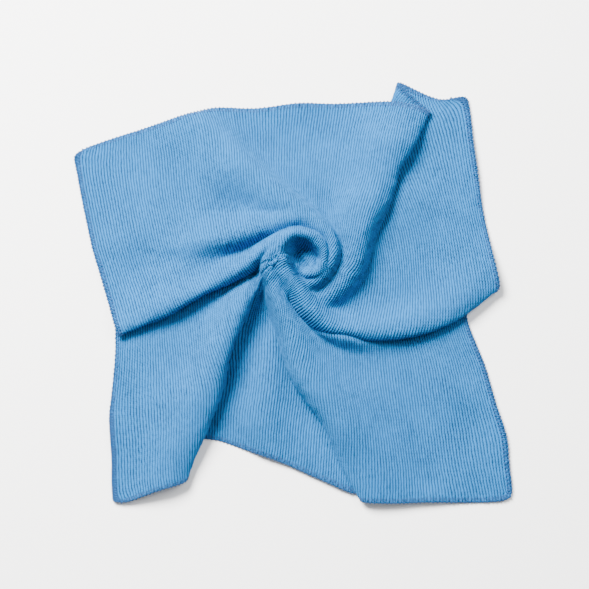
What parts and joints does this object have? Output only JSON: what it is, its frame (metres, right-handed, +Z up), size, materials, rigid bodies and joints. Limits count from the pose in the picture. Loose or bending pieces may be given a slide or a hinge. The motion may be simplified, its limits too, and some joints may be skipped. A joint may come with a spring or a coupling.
{
  "type": "polishing cloth",
  "caption": "Soft knitted microfibre polishing cloth with an overlocked edge, lying flat with its middle twisted into a spiral rosette, for buffing car paint and glass.",
  "frame": {"origin": "centre of the outline's box, on the surface the cloth lies on", "axes": "+X to the right flap, +Y to the far upper edge, +Z up out of the cloth"},
  "size_m": [0.3654, 0.3476, 0.034],
  "materials": {
    "microfibre": "soft matte looped pile, light blue",
    "thread": "textured polyester thread, light blue"
  },
  "bodies": {
    "root": {"cloth_panel": "microfibre", "needle_thread": "thread", "upper_looper_thread": "thread", "lower_looper_thread": "thread"}
  },
  "joints": []
}
